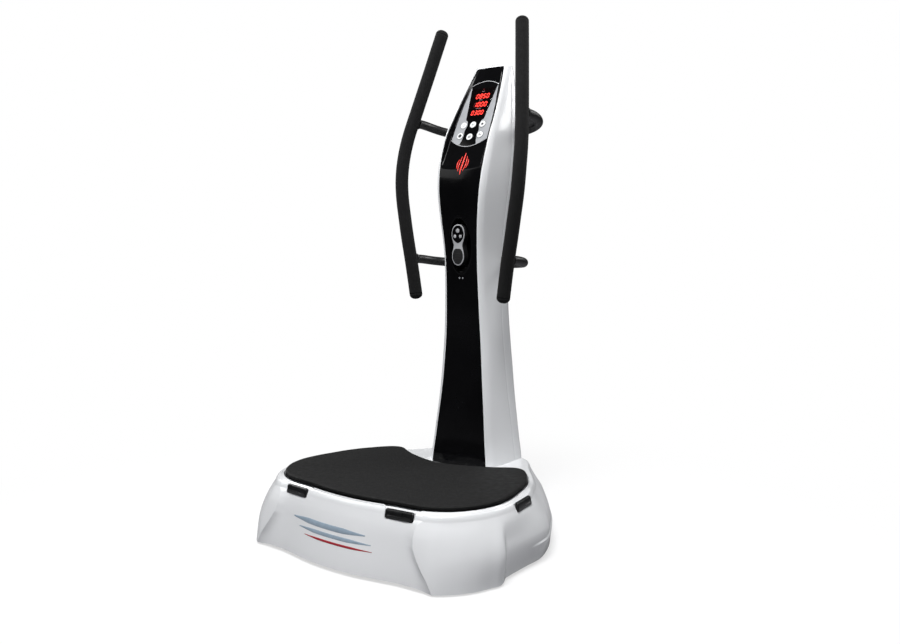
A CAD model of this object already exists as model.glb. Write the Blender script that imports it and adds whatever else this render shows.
"""Exercise platform: a moulded base with a rubber mat, a column with a console and handlebars.

Shapes are in millimetres, scaled by MM when a mesh is made; lights, camera and floor are in metres.
The origin is on the floor under the base. Front is -Y, right is +X and up is +Z. The column
stands at the rear of the base, and its console faces forward and up.
"""
import math

import bmesh
import bpy
import numpy as np
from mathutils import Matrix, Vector
from mathutils.bvhtree import BVHTree
from mathutils.geometry import tessellate_polygon


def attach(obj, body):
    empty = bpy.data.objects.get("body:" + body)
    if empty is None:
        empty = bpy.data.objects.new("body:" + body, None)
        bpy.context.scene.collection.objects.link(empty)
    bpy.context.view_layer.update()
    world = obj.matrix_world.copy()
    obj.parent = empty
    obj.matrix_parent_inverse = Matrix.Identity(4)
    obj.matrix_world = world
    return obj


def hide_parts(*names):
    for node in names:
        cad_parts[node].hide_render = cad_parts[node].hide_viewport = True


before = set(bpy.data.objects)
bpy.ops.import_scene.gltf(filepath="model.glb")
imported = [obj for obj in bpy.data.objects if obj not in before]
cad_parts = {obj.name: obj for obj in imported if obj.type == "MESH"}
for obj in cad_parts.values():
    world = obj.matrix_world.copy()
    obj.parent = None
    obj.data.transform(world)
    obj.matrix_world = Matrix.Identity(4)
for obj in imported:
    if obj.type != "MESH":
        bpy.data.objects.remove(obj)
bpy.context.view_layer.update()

MM = 0.001
SIDES = ((1, "right"), (-1, "left"))
rng = np.random.default_rng(11)


# ------------------------------------------------------------------ shader helpers
def feed(tree, target, inputs):
    """Sets each input of a node to a value, or links it if a socket is given."""
    for key, value in inputs.items():
        if isinstance(value, bpy.types.NodeSocket):
            tree.links.new(value, target.inputs[key])
        else:
            target.inputs[key].default_value = value


def node(tree, kind, inputs=None, **settings):
    made = tree.nodes.new("ShaderNode" + kind)
    for key, value in settings.items():
        setattr(made, key, value)
    feed(tree, made, inputs or {})
    return made


def pbr(name, color, rough, tint, bump, metal=0.0, coat=(0.0, 0.04), spec=0.5, sheen=0.0,
        stretch=(1, 1, 1), speck=None, edge=None, dust=0.0, side=0.0, cells=None, emit=None):
    """A Principled material varied by noise in object space.

    rough: roughness, its spread, noise scale     tint: spread of the colour, noise scale
    bump, cells: strength, scale, distance (m)    coat: weight, roughness
    speck: amount of paler specks, noise scale    edge: amount, colour of worn edges
    dust: greying of upward faces                 side: darkening of faces that don't look up
    emit: colour, strength                        stretch: scale of the pattern along each axis
    """
    material = bpy.data.materials.new(name)
    material.use_nodes = True
    tree = material.node_tree
    shader = tree.nodes["Principled BSDF"]
    coords = node(tree, "TexCoord").outputs["Object"]
    place = node(tree, "Mapping", {"Scale": stretch, "Vector": coords}).outputs["Vector"]

    def noise(scale, detail=4.0):
        return node(tree, "TexNoise", {"Scale": scale, "Detail": detail, "Roughness": 0.55,
                                       "Vector": place}).outputs["Fac"]

    def remap(source, to_min, to_max, from_min=0.3, from_max=0.7):
        return node(tree, "MapRange", {"From Min": from_min, "From Max": from_max,
                                       "To Min": to_min, "To Max": to_max,
                                       "Value": source}).outputs["Result"]

    def mix(factor, first, second):
        first, second = ((*c, 1.0) if isinstance(c, tuple) else c for c in (first, second))
        # inputs 0, 6 and 7 are the factor and the two colours
        return node(tree, "Mix", {0: factor, 6: first, 7: second}, data_type="RGBA").outputs[2]

    def facing_up():
        normal = node(tree, "NewGeometry").outputs["Normal"]
        return node(tree, "SeparateXYZ", {0: normal}).outputs["Z"]

    spread, tint_scale = tint
    dark = tuple(max(0.0, c * (1 - spread)) for c in color)
    light = tuple(min(1.0, c * (1 + spread)) for c in color)
    shade = mix(remap(noise(tint_scale), 0.0, 1.0), dark, light)
    if speck:
        amount, scale = speck
        specks = remap(noise(scale, 2.0), 0.0, amount, 0.56, 0.72)
        shade = mix(specks, shade, tuple(min(1.0, c * 2.2 + 0.02) for c in color))
    if edge:
        amount, edge_color = edge
        pointiness = node(tree, "NewGeometry").outputs["Pointiness"]
        shade = mix(remap(pointiness, 0.0, amount, 0.52, 0.60), shade, edge_color)
    if dust:
        settled = remap(facing_up(), 0.0, dust, 0.3, 1.0)
        patchy = remap(noise(60.0, 6.0), 0.2, 1.0)
        amount = node(tree, "Math", {0: settled, 1: patchy}, operation="MULTIPLY").outputs[0]
        shade = mix(amount, shade, (0.55, 0.54, 0.52))
    if side:
        shade = mix(remap(facing_up(), side, 0.0, 0.35, 0.97), shade,
                    tuple(c * 0.2 for c in color))
    level, rough_spread, rough_scale = rough
    feed(tree, shader, {
        "Base Color": shade,
        "Roughness": remap(noise(rough_scale, 6.0), max(0.02, level - rough_spread),
                           min(1.0, level + rough_spread)),
        "Metallic": metal,
        "Coat Weight": coat[0],
        "Coat Roughness": coat[1],
        "Specular IOR Level": spec,
    })
    if sheen:
        feed(tree, shader, {"Sheen Weight": sheen, "Sheen Roughness": 0.6})
    strength, scale, distance = bump
    normal = node(tree, "Bump", {"Strength": strength, "Distance": distance,
                                 "Height": noise(scale, 3.0)}).outputs["Normal"]
    if cells:
        strength, scale, distance = cells
        cell = node(tree, "TexVoronoi", {"Scale": scale, "Vector": place})
        normal = node(tree, "Bump", {"Strength": strength, "Distance": distance,
                                     "Height": cell.outputs["Distance"],
                                     "Normal": normal}).outputs["Normal"]
    feed(tree, shader, {"Normal": normal})
    if emit:
        emit_color, strength = emit
        feed(tree, shader, {"Emission Color": (*emit_color, 1.0), "Emission Strength": strength})
    material.diffuse_color = (*color, 1.0)
    return material


# ------------------------------------------------------------------ materials
WHITE = pbr("white_gloss_shell", (0.80, 0.81, 0.825), rough=(0.22, 0.05, 24), tint=(0.012, 5),
            bump=(0.05, 260, 0.0002), coat=(0.35, 0.06), dust=0.05)
GLOSS = pbr("black_gloss_panel", (0.0026, 0.0026, 0.0030), rough=(0.13, 0.05, 40),
            tint=(0.25, 9), bump=(0.03, 180, 0.0002), coat=(0.03, 0.03), spec=0.085, dust=0.003)
FOAM = pbr("black_foam", (0.0042, 0.0042, 0.0045), rough=(0.88, 0.06, 120), tint=(0.16, 45),
           bump=(0.5, 1500, 0.0005), cells=(0.35, 900, 0.0004), speck=(0.14, 1400),
           sheen=0.03, spec=0.22)
MAT_RUBBER = pbr("mat_rubber", (0.0040, 0.0040, 0.0041), rough=(0.72, 0.08, 60),
                 tint=(0.10, 14), bump=(0.55, 1100, 0.0007), cells=(0.5, 420, 0.0006),
                 speck=(0.10, 800), spec=0.3, edge=(0.1, (0.03, 0.03, 0.03)), side=0.75)
POWDER = pbr("black_powder_coat", (0.0045, 0.0045, 0.005), rough=(0.42, 0.1, 90),
             tint=(0.12, 30), bump=(0.35, 1300, 0.0003), speck=(0.05, 900),
             edge=(0.2, (0.08, 0.08, 0.08)))
PLASTIC = pbr("black_moulded_plastic", (0.0065, 0.0065, 0.007), rough=(0.5, 0.1, 80),
              tint=(0.12, 25), bump=(0.4, 1600, 0.00025), cells=(0.15, 1200, 0.0004),
              edge=(0.3, (0.09, 0.09, 0.09)))
NYLON = pbr("black_nylon", (0.0035, 0.0037, 0.0042), rough=(0.34, 0.08, 90), tint=(0.15, 40),
            bump=(0.25, 1500, 0.0002), coat=(0.25, 0.15), spec=0.4)
SILVER = pbr("silver_film", (0.40, 0.41, 0.43), rough=(0.36, 0.08, 50), tint=(0.06, 18),
             bump=(0.12, 900, 0.0002), metal=0.22, speck=(0.12, 1500), stretch=(1, 4, 1))
TRIM = pbr("silver_trim", (0.56, 0.57, 0.59), rough=(0.26, 0.08, 70), tint=(0.05, 30),
           bump=(0.08, 900, 0.00015), metal=0.3, edge=(0.3, (0.8, 0.8, 0.82)))
KEY_WHITE = pbr("white_key", (0.86, 0.87, 0.88), rough=(0.28, 0.06, 90), tint=(0.02, 40),
                bump=(0.06, 900, 0.00015), coat=(0.3, 0.04))
INK_DARK = pbr("dark_print", (0.03, 0.032, 0.036), rough=(0.45, 0.06, 35), tint=(0.15, 60),
               bump=(0.05, 700, 0.0003))
INK_GREY = pbr("grey_print", (0.40, 0.42, 0.44), rough=(0.5, 0.06, 35), tint=(0.08, 60),
               bump=(0.05, 700, 0.0003))
INK_BLUE = pbr("slate_print", (0.30, 0.38, 0.46), rough=(0.4, 0.06, 35), tint=(0.08, 60),
               bump=(0.05, 700, 0.0003), coat=(0.3, 0.04))
INK_RED = pbr("red_print", (0.36, 0.018, 0.03), rough=(0.4, 0.06, 35), tint=(0.10, 60),
              bump=(0.05, 700, 0.0003), coat=(0.3, 0.04))
EMBLEM = pbr("red_emblem", (0.72, 0.035, 0.025), rough=(0.3, 0.06, 35), tint=(0.10, 60),
             bump=(0.05, 700, 0.0003), coat=(0.4, 0.04), emit=((0.75, 0.05, 0.03), 0.25))
LED_ON = pbr("led_lit", (0.9, 0.06, 0.05), rough=(0.3, 0.06, 35), tint=(0.10, 160),
             bump=(0.02, 700, 0.0003), emit=((1.0, 0.07, 0.05), 2.4))
LED_OFF = pbr("led_dark", (0.055, 0.006, 0.006), rough=(0.3, 0.06, 35), tint=(0.15, 120),
              bump=(0.02, 700, 0.0003), emit=((0.3, 0.01, 0.01), 0.2))
PAINTED = pbr("black_painted_steel", (0.03, 0.03, 0.032), rough=(0.45, 0.12, 60),
              tint=(0.15, 20), bump=(0.3, 900, 0.0003), edge=(0.35, (0.25, 0.25, 0.25)))
STEEL = pbr("bright_steel", (0.56, 0.57, 0.58), rough=(0.28, 0.12, 120), tint=(0.08, 40),
            bump=(0.1, 500, 0.0003), metal=1.0, stretch=(12, 1, 1))
ZINC = pbr("zinc_plate", (0.60, 0.60, 0.58), rough=(0.35, 0.12, 160), tint=(0.12, 90),
           bump=(0.12, 900, 0.0003), metal=0.95)
CAST = pbr("cast_iron_grey", (0.13, 0.14, 0.15), rough=(0.62, 0.12, 120), tint=(0.15, 60),
           bump=(0.7, 600, 0.0006), metal=0.35, edge=(0.3, (0.4, 0.4, 0.4)))
ALLOY = pbr("cast_alloy", (0.50, 0.51, 0.53), rough=(0.42, 0.12, 90), tint=(0.08, 50),
            bump=(0.4, 700, 0.0004), metal=0.85)
RUBBER = pbr("black_rubber", (0.022, 0.022, 0.022), rough=(0.8, 0.08, 120), tint=(0.12, 50),
             bump=(0.4, 1200, 0.0003), speck=(0.08, 900))
BOARD = pbr("circuit_board_green", (0.02, 0.17, 0.07), rough=(0.35, 0.1, 200),
            tint=(0.3, 220), bump=(0.4, 900, 0.0003), speck=(0.3, 500))
ROCKER = pbr("red_rocker", (0.45, 0.015, 0.015), rough=(0.3, 0.06, 35), tint=(0.08, 60),
             bump=(0.1, 900, 0.0003), coat=(0.3, 0.04))


def smoked_window():
    """A clear, slightly red pane with a faint reflection that grows at grazing angles."""
    material = bpy.data.materials.new("smoked_window")
    material.use_nodes = True
    tree = material.node_tree
    tree.nodes.remove(tree.nodes["Principled BSDF"])
    clear = node(tree, "BsdfTransparent", {"Color": (0.92, 0.80, 0.80, 1)})
    grain = node(tree, "TexNoise", {"Scale": 60})
    rough = node(tree, "MapRange", {"To Min": 0.03, "To Max": 0.12,
                                    "Value": grain.outputs["Fac"]})
    gloss = node(tree, "BsdfGlossy", {"Color": (0.5, 0.5, 0.5, 1),
                                      "Roughness": rough.outputs["Result"]})
    facing = node(tree, "LayerWeight", {"Blend": 0.25})
    amount = node(tree, "MapRange", {"To Min": 0.02, "To Max": 0.12,
                                     "Value": facing.outputs["Facing"]})
    mixed = node(tree, "MixShader", {"Fac": amount.outputs["Result"],
                                     1: clear.outputs["BSDF"], 2: gloss.outputs["BSDF"]})
    feed(tree, tree.nodes["Material Output"], {"Surface": mixed.outputs["Shader"]})
    material.diffuse_color = (0.03, 0.01, 0.01, 0.5)
    return material


WINDOW = smoked_window()


# ------------------------------------------------------------------ mesh helpers
def mesh_object(name, verts, faces):
    mesh = bpy.data.meshes.new(name)
    mesh.from_pydata((np.asarray(verts, float) * MM).tolist(), [],
                     [tuple(int(i) for i in face) for face in faces])
    mesh.validate()
    bm = bmesh.new()
    bm.from_mesh(mesh)
    bmesh.ops.recalc_face_normals(bm, faces=bm.faces)
    bm.to_mesh(mesh)
    bm.free()
    ob = bpy.data.objects.new(name, mesh)
    bpy.context.scene.collection.objects.link(ob)
    return ob


def shade_smooth(mesh):
    mesh.polygons.foreach_set("use_smooth", [True] * len(mesh.polygons))


def crease_edges(ob, degrees):
    """Breaks the smooth shading at edges sharper than the angle."""
    bm = bmesh.new()
    bm.from_mesh(ob.data)
    limit = math.radians(degrees)
    for edge in bm.edges:
        if len(edge.link_faces) == 2 and edge.calc_face_angle(0) > limit:
            edge.smooth = False
    bm.to_mesh(ob.data)
    bm.free()


def add(name, verts, faces, material, body="root", replaces=(), slot=None, smooth=True,
        crease=None):
    ob = mesh_object(name, verts, faces)
    ob.data.materials.append(material)
    if smooth:
        shade_smooth(ob.data)
    if crease is not None:
        crease_edges(ob, crease)
    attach(ob, body)
    if replaces:
        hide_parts(*replaces)
    return ob


def grid_faces(rows, cols, close_rows, close_cols):
    """Quads of a grid whose vertex (row, col) is row * cols + col."""
    row, col = np.meshgrid(np.arange(rows if close_rows else rows - 1),
                           np.arange(cols if close_cols else cols - 1), indexing="ij")
    row2, col2 = (row + 1) % rows, (col + 1) % cols
    quads = [row * cols + col, row2 * cols + col, row2 * cols + col2, row * cols + col2]
    return np.stack(quads, -1).reshape(-1, 4).tolist()


def ring_faces(rings, count, closed=False):
    """Quads between neighbouring rings of count points; closed joins the last to the first."""
    faces = []
    for k in range(rings if closed else rings - 1):
        here, there = k * count, (k + 1) % rings * count
        for i in range(count):
            j = (i + 1) % count
            faces.append((here + i, here + j, there + j, there + i))
    return faces


def loft(rings):
    """Closed rings of equal length, joined, with both ends capped."""
    count = len(rings[0])
    faces = ring_faces(len(rings), count)
    for ring, base in ((rings[0], 0), (rings[-1], (len(rings) - 1) * count)):
        for tri in tessellate_polygon([[Vector(tuple(p)) for p in ring]]):
            faces.append(tuple(base + i for i in tri))
    return np.vstack(rings), faces


def merge(parts):
    """Joins (vertices, faces) pairs into one pair."""
    verts, faces = [], []
    for part_verts, part_faces in parts:
        base = len(verts)
        verts += list(part_verts)
        faces += [tuple(base + i for i in face) for face in part_faces]
    return verts, faces


def lift(xy, z):
    """Adds a height, single or one per point, to plan points."""
    return np.column_stack([xy, np.broadcast_to(z, len(xy))])


def unit(vectors):
    return vectors / np.maximum(np.linalg.norm(vectors, axis=-1, keepdims=True), 1e-9)


def right_of(direction):
    """2-D direction turned a quarter clockwise: outward on an anticlockwise outline."""
    return np.stack([direction[..., 1], -direction[..., 0]], -1)


def smoothstep(low, high, x):
    t = np.clip((np.asarray(x, float) - low) / (high - low), 0, 1)
    return t * t * (3 - 2 * t)


def look_up(table, x):
    """Linear interpolation in a two-column table."""
    return np.interp(x, *np.transpose(table))


def spline(table, column=1):
    """Natural cubic spline of a table's column against its column 0."""
    table = np.array(table, float)
    x, y = table[:, 0], table[:, column]
    count = len(x)
    step = np.diff(x)
    system = np.zeros((count, count))
    rhs = np.zeros(count)
    system[0, 0] = system[-1, -1] = 1
    for i in range(1, count - 1):
        system[i, i - 1:i + 2] = step[i - 1], 2 * (step[i - 1] + step[i]), step[i]
        rhs[i] = 6 * ((y[i + 1] - y[i]) / step[i] - (y[i] - y[i - 1]) / step[i - 1])
    curv = np.linalg.solve(system, rhs)

    def value(at):
        at = np.clip(np.asarray(at, float), x[0], x[-1])
        i = np.clip(np.searchsorted(x, at) - 1, 0, count - 2)
        after, before, gap = x[i + 1] - at, at - x[i], step[i]
        return ((curv[i] * after**3 + curv[i + 1] * before**3) / (6 * gap)
                + (y[i] / gap - curv[i] * gap / 6) * after
                + (y[i + 1] / gap - curv[i + 1] * gap / 6) * before)
    return value


def half_curve(points, t):
    """Catmull-Rom curve at point numbers t of a right half, mirrored in x = 0 past its ends."""
    rows = np.array(points, float)
    rows = np.vstack([rows[1] * [-1, 1], rows, rows[-2] * [-1, 1]])
    t = np.asarray(t, float)
    i = np.clip(np.floor(t).astype(int), 0, len(rows) - 4)
    f = (t - i)[..., None]
    p0, p1, p2, p3 = (rows[i + k] for k in range(4))
    return 0.5 * (2 * p1 + (p2 - p0) * f + (2 * p0 - 5 * p1 + 4 * p2 - p3) * f**2
                  + (3 * p1 - p0 - 3 * p2 + p3) * f**3)


def run_length(points):
    """Distance along a polyline at each of its points."""
    steps = np.linalg.norm(np.diff(points, axis=0), axis=1)
    return np.concatenate([[0], np.cumsum(steps)])


def even_curve(points, t, count):
    """count points of a half curve, evenly spaced along the fine parameters t."""
    run = run_length(half_curve(points, t))
    return half_curve(points, np.interp(np.linspace(0, run[-1], count), run, t))


def mirrored(part):
    return (part * [-1, 1])[::-1]


def close_half(half):
    """Whole outline from a right half whose ends lie on x = 0."""
    return np.vstack([half, mirrored(half[1:-1])])


def smooth_outline(points, count):
    return close_half(half_curve(points, np.linspace(0, len(points) - 1, count)))


def offset_poly(points, distance):
    """Moves a closed anticlockwise outline outward, mitred."""
    outline = np.array(points, float)
    normal = right_of(unit(np.roll(outline, -1, 0) - outline))
    mitre = unit(normal + np.roll(normal, 1, 0))
    return outline + mitre * distance / np.maximum((mitre * normal).sum(1, keepdims=True), 0.5)


def ccw(points):
    """The outline, turned anticlockwise."""
    outline = np.array(points, float)
    x, y = outline.T
    area = 0.5 * np.sum(x * np.roll(y, -1) - np.roll(x, -1) * y)
    return outline if area > 0 else outline[::-1]


def round_corners(points, radius):
    outline = ccw(points)
    steps = 6
    out = []
    for i, corner in enumerate(outline):
        back, ahead = outline[i - 1] - corner, outline[(i + 1) % len(outline)] - corner
        back_len, ahead_len = np.linalg.norm(back), np.linalg.norm(ahead)
        cut = min(radius, back_len * 0.45, ahead_len * 0.45)
        start, end = corner + back / back_len * cut, corner + ahead / ahead_len * cut
        for k in range(steps + 1):
            t = k / steps
            out.append((1 - t) ** 2 * start + 2 * t * (1 - t) * corner + t**2 * end)
    return np.array(out)


def rounded_bar(half_width, y, half_height, radius):
    return round_corners([(-half_width, y - half_height), (half_width, y - half_height),
                          (half_width, y + half_height), (-half_width, y + half_height)], radius)


def disc(radius, count):
    turn = np.linspace(0, 2 * math.pi, count, endpoint=False)
    return np.stack([radius * np.cos(turn), radius * np.sin(turn)], 1)


# Place functions take (x, y, depth) on a surface to a point in space; depth is proud of it.
def placed(outline, depth, place):
    return np.array([place(x, y, depth) for x, y in outline])


def shifted(place, x0, y0):
    return lambda x, y, depth: place(x0 + x, y0 + y, depth)


def slab(name, points, low, high, bevel, place, material, **options):
    """A flat-topped plate over an outline, its top edge rounded by bevel."""
    outline = ccw(points)
    rings = [placed(outline, low, place)]
    for degrees in (0, 22.5, 45, 67.5, 90):
        turn = math.radians(degrees)
        rings.append(placed(offset_poly(outline, -bevel * (1 - math.cos(turn))),
                            high - bevel * (1 - math.sin(turn)), place))
    return add(name, *loft(rings), material, crease=35, **options)


def lathe(name, profile, place, material, count, **options):
    """A solid of revolution about a surface's normal; profile rows are radius, depth."""
    rings = [placed(disc(radius, count), depth, place) for radius, depth in profile]
    return add(name, *loft(rings), material, crease=40, **options)


def spindle(end):
    """Taper from a share of the width at both ends to the full width in the middle."""
    return lambda share: end + (1 - end) * math.sin(math.pi * share) ** 0.5


def stroke(name, points, width, place, low, high, material, closed=False,
           taper=lambda share: 1.0, **options):
    """A raised line along a 2-D path; taper gives the share of the width along it."""
    path = np.array(points, float)
    if closed:
        tangent = np.roll(path, -1, 0) - np.roll(path, 1, 0)
    else:
        tangent = np.gradient(path, axis=0)
    across = -right_of(unit(tangent))
    verts = []
    for i, (point, normal) in enumerate(zip(path, across)):
        half = taper(i / (len(path) - 1)) * width / 2.0
        bevel = min(0.25 * half, 0.3)
        shoulder = high - bevel * 0.6
        for shift, depth in ((-half, low), (-half, shoulder), (-half + bevel, high),
                             (half - bevel, high), (half, shoulder), (half, low)):
            x, y = point + normal * shift
            verts.append(place(x, y, depth))
    faces = grid_faces(len(path), 6, closed, True)
    if not closed:
        faces += [tuple(range(6)), tuple(range(len(verts) - 6, len(verts)))]
    return add(name, verts, faces, material, **options)


def hoop(cross_section, radius, count, along=0.0):
    """A circle round a tube's path, shifted along it."""
    centre, tangent, side_a, side_b = cross_section
    turn = np.linspace(0, 2 * math.pi, count, endpoint=False)
    return (centre + tangent * along + (np.cos(turn) * radius)[:, None] * side_a
            + (np.sin(turn) * radius)[:, None] * side_b)


def tube(points, radius, count, spacing, noise):
    """Rings of a round tube along a smooth path, and the path's cross-section frames."""
    path = np.array(points, float)
    run = run_length(path)
    at = np.linspace(0, run[-1], int(run[-1] / spacing) + 1)
    table = np.column_stack([run, path])
    centres = np.stack([spline(table, k)(at) for k in (1, 2, 3)], 1)
    tangents = unit(np.gradient(centres, axis=0))
    start = tangents[0]
    across = unit(np.cross(start, (0.0, -1.0, 0.0) if abs(start[1]) < 0.9 else (0.0, 0.0, 1.0)))
    sections, rings = [], []
    for centre, tangent in zip(centres, tangents):
        across = unit(across - tangent * (across @ tangent))
        sections.append((centre, tangent, across, np.cross(tangent, across)))
        rings.append(hoop(sections[-1], radius + rng.normal(0, noise, count), count))
    return rings, sections


# ------------------------------------------------------------------ base: outlines
FOOT_H = 5.0
RIM_H = 158.0
LIP_H = 175.6
# right halves in plan (x, y), from the middle of the front round to the middle of the rear
FLOOR_LINE = [
    (0, -364), (66, -361), (131, -351), (197, -339), (250, -336), (293, -327), (329, -300),
    (349, -280), (366, -257), (379, -227), (389, -194), (388, -150), (384, -90), (378, -15),
    (365, 40), (342, 101), (308, 165), (262, 235), (215, 290), (150, 340), (75, 361), (0, 365)]
MID_LINE = [
    (0, -345), (65, -342), (129, -333), (194, -324), (246, -322), (287, -314), (325, -291),
    (347, -271), (366, -247), (380, -219), (391, -188), (392, -150), (391, -90), (388, -20),
    (377, 42), (349, 98), (311, 165), (262, 232), (213, 287), (149, 338), (75, 360), (0, 364)]
HIGH_LINE = [
    (0, -331), (63, -328), (127, -320), (190, -312), (239, -309), (277, -300), (309, -278),
    (331, -258), (348, -235), (362, -207), (373, -175), (377, -138), (376, -85), (369, -20),
    (356, 34), (331, 90), (296, 152), (250, 217), (206, 272), (146, 330), (73, 354), (0, 358)]
RIM_LINE = [
    (0, -321), (62, -318), (124, -310), (186, -302), (232, -298), (268, -288), (297, -267),
    (318, -247), (335, -224), (349, -197), (360, -163), (364, -127), (363, -80), (354, -20),
    (340, 28), (314, 80), (282, 138), (242, 192), (200, 245), (143, 322), (72, 346), (0, 351)]
MAT_LINE = [
    (0, -302), (70, -298), (140, -287), (207, -280), (242, -271), (275, -252), (296, -233),
    (314, -209), (329, -181), (339, -146), (342, -120), (340, -89), (335, -57), (325, -15),
    (316, 20), (298, 65), (280, 95), (263, 122), (245, 143), (235, 151), (220, 157.5),
    (205, 157.5), (190, 151), (165, 134), (140, 119), (115, 107), (84, 95), (54, 85),
    (27, 78.5), (0, 76)]
WALL_LINES = [(FOOT_H, FLOOR_LINE), (85.0, MID_LINE), (132.0, HIGH_LINE), (RIM_H, RIM_LINE)]

# A station is a point number along the wall lines; a run is a distance round the middle line.
LAST = len(FLOOR_LINE) - 1
STATIONS = np.linspace(0, LAST, 4001)
WALL_RUN = run_length(half_curve(MID_LINE, STATIONS))
COLUMNS = 380                   # of the wall's right half
LEVELS = 72                     # from the wall's lower edge to the rim
# extra crowding of the columns: amount, station, width
CROWDING = [(4.0, 4.35, 0.35), (1.4, 4.5, 0.9), (2.6, 10.05, 0.3)]
# the corner lobe's ridge: height, station
RIDGE = [(-10, 5.16), (0, 5.06), (5, 5.017), (33, 4.719), (53, 4.389), (77, 4.042),
         (98, 3.828), (120, 3.778), (137, 3.828), (150, 3.96), (155, 4.12), (159, 4.36),
         (163, 4.7), (168, 5.15), (180, 5.5)]
# the lobe at each height: how far it stands out, how wide its face is, how its face curves
LOBE_DEPTH = [(0, 10.5), (95, 10.5), (125, 9.6), (142, 8.4), (150, 7.4), (158, 6.2), (170, 4.5)]
LOBE_WIDTH = [(0, 48.0), (110, 44.0), (150, 40.0), (165, 40.0)]
LOBE_POWER = [(0, 3.2), (110, 3.0), (150, 2.4)]


def run_at(station):
    return np.interp(station, STATIONS, WALL_RUN)


CORNER_RUN = float(run_at(4.35))


def smoothed_ridge():
    """Fine heights, and the ridge's run at each after a bell-shaped average."""
    heights = np.linspace(-10, 180, 400)
    z, station = np.transpose(RIDGE)
    kernel = np.exp(-np.linspace(-2, 2, 25) ** 2)
    kernel /= kernel.sum()
    padded = np.pad(np.interp(heights, z, run_at(station)), 12, mode="edge")
    return heights, np.convolve(padded, kernel, mode="valid")


RIDGE_HEIGHTS, RIDGE_RUNS = smoothed_ridge()


def ridge_at(z):
    return np.interp(z, RIDGE_HEIGHTS, RIDGE_RUNS)


def lobe(run, z):
    """Outward displacement of the wall at a run and a height."""
    past = run - ridge_at(z)
    depth = look_up(LOBE_DEPTH, z)
    face = depth * np.clip(1 + past / look_up(LOBE_WIDTH, z), 0, 1) ** look_up(LOBE_POWER, z)
    pad = depth * np.exp(-(np.maximum(past, 0) / 95.0) ** 2)
    # end of the front lobe: a soft upright edge, then a hollow that runs out along the side
    end = run_at(10.38) - 3 * (z / 120.0)
    fade = 1 - smoothstep(95, 150, z)
    hollow = (-8.5 * smoothstep(end - 3, end + 24, run)
              * (1 - smoothstep(end + 30, end + 215, run)) * fade)
    swell = 2.6 * np.exp(-((run - end + 14) / 18) ** 2) * fade
    # rear lobe: a shallow step in the side
    start = run_at(12.5)
    rear = (3.6 * smoothstep(start, start + 55, run)
            * (1 - smoothstep(53, 58, z - 0.03 * (run - start)))
            * (1 - smoothstep(run_at(17.5), run_at(19), run)))
    return np.where(past > 0, pad, face) + hollow + swell + rear


def lower_edge(xy):
    """Height of the wall's lower edge, raised between the feet at the sides and the front."""
    x, y = xy[:, 0], xy[:, 1]
    side = smoothstep(-196, -172, y) * (1 - smoothstep(150, 200, y)) * 4
    front = smoothstep(-1, 1, -y - 250) * (1 - smoothstep(225, 262, x)) * 4
    return FOOT_H + np.maximum(side, front)


def wall(station, z):
    """Plan position of the plain wall: a Hermite curve up through the wall lines."""
    levels = np.array([level for level, _ in WALL_LINES])
    lines = np.stack([half_curve(line, station) for _, line in WALL_LINES], -1)
    step = np.diff(levels)
    slope = np.diff(lines, axis=-1) / step
    tangent = np.zeros_like(lines)
    tangent[..., 1:-1] = ((slope[..., :-1] * step[1:] + slope[..., 1:] * step[:-1])
                          / (step[1:] + step[:-1]))
    tangent[..., 0] = slope[..., 0] * 0.6
    tangent[..., -1] = slope[..., -1]
    i = np.clip(np.searchsorted(levels, z) - 1, 0, 2)
    t = ((z - levels[i]) / step[i])[..., None]
    gap = step[i][..., None]

    def pick(values, index):
        return np.take_along_axis(values, index[..., None, None], -1)[..., 0]

    return ((2 * t**3 - 3 * t**2 + 1) * pick(lines, i)
            + (t**3 - 2 * t**2 + t) * gap * pick(tangent, i)
            + (-2 * t**3 + 3 * t**2) * pick(lines, i + 1)
            + (t**3 - t**2) * gap * pick(tangent, i + 1))


def wall_normal(station):
    ahead = half_curve(MID_LINE, np.minimum(station + 0.02, LAST))
    normal = right_of(unit(ahead - half_curve(MID_LINE, np.maximum(station - 0.02, 0))))
    normal[station <= 1e-6] = (0, -1)
    normal[station >= LAST - 1e-6] = (0, 1)
    return normal


def opening_line(offset, station):
    """Right half of the mat's outline moved outward, matched to the wall's stations."""
    # the rear corners of the rim and of the mat are matched to each other
    rim_corner_station, mat_corner_point = 16.3, 20.4
    count = len(MAT_LINE)
    edge = offset_poly(close_half(np.array(MAT_LINE, float)), offset)[:count]
    edge[0, 0] = edge[-1, 0] = 0
    t = np.linspace(0, count - 1, 3000)
    run = run_length(half_curve(edge, t))
    rim_run = run_length(half_curve(RIM_LINE, STATIONS))
    rim_corner = np.interp(rim_corner_station, STATIONS, rim_run)
    corner = np.interp(mat_corner_point, t, run)
    at_rim = np.interp(station, STATIONS, rim_run)
    beyond = (at_rim - rim_corner) / (rim_run[-1] - rim_corner)
    at_edge = np.where(at_rim < rim_corner, at_rim / rim_corner * corner,
                       corner + beyond * (run[-1] - corner))
    return half_curve(edge, np.interp(at_edge, run, t))


# ------------------------------------------------------------------ base: strap anchors' places
# right-hand anchors on the rim: centre in plan, angle of the rim in degrees
ANCHORS = {"front": ((175, -304.5), 6.0), "side": ((359.5, -45), 98.0)}


def anchor_axes(kind, side):
    """Centre of an anchor, direction along the rim and direction out of it."""
    (x, y), degrees = ANCHORS[kind]
    turn = math.radians(side * degrees)
    along = np.array([math.cos(turn), math.sin(turn)])
    # the same turn from along to outward holds on both sides
    return np.array([side * x, y], float), along, right_of(along)


def anchor_place(kind, side):
    """Maps distance along the rim, distance out of it and height to a point."""
    centre, along, out = anchor_axes(kind, side)
    return lambda s, d, z: np.array([*(centre + along * s + out * d), z])


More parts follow.
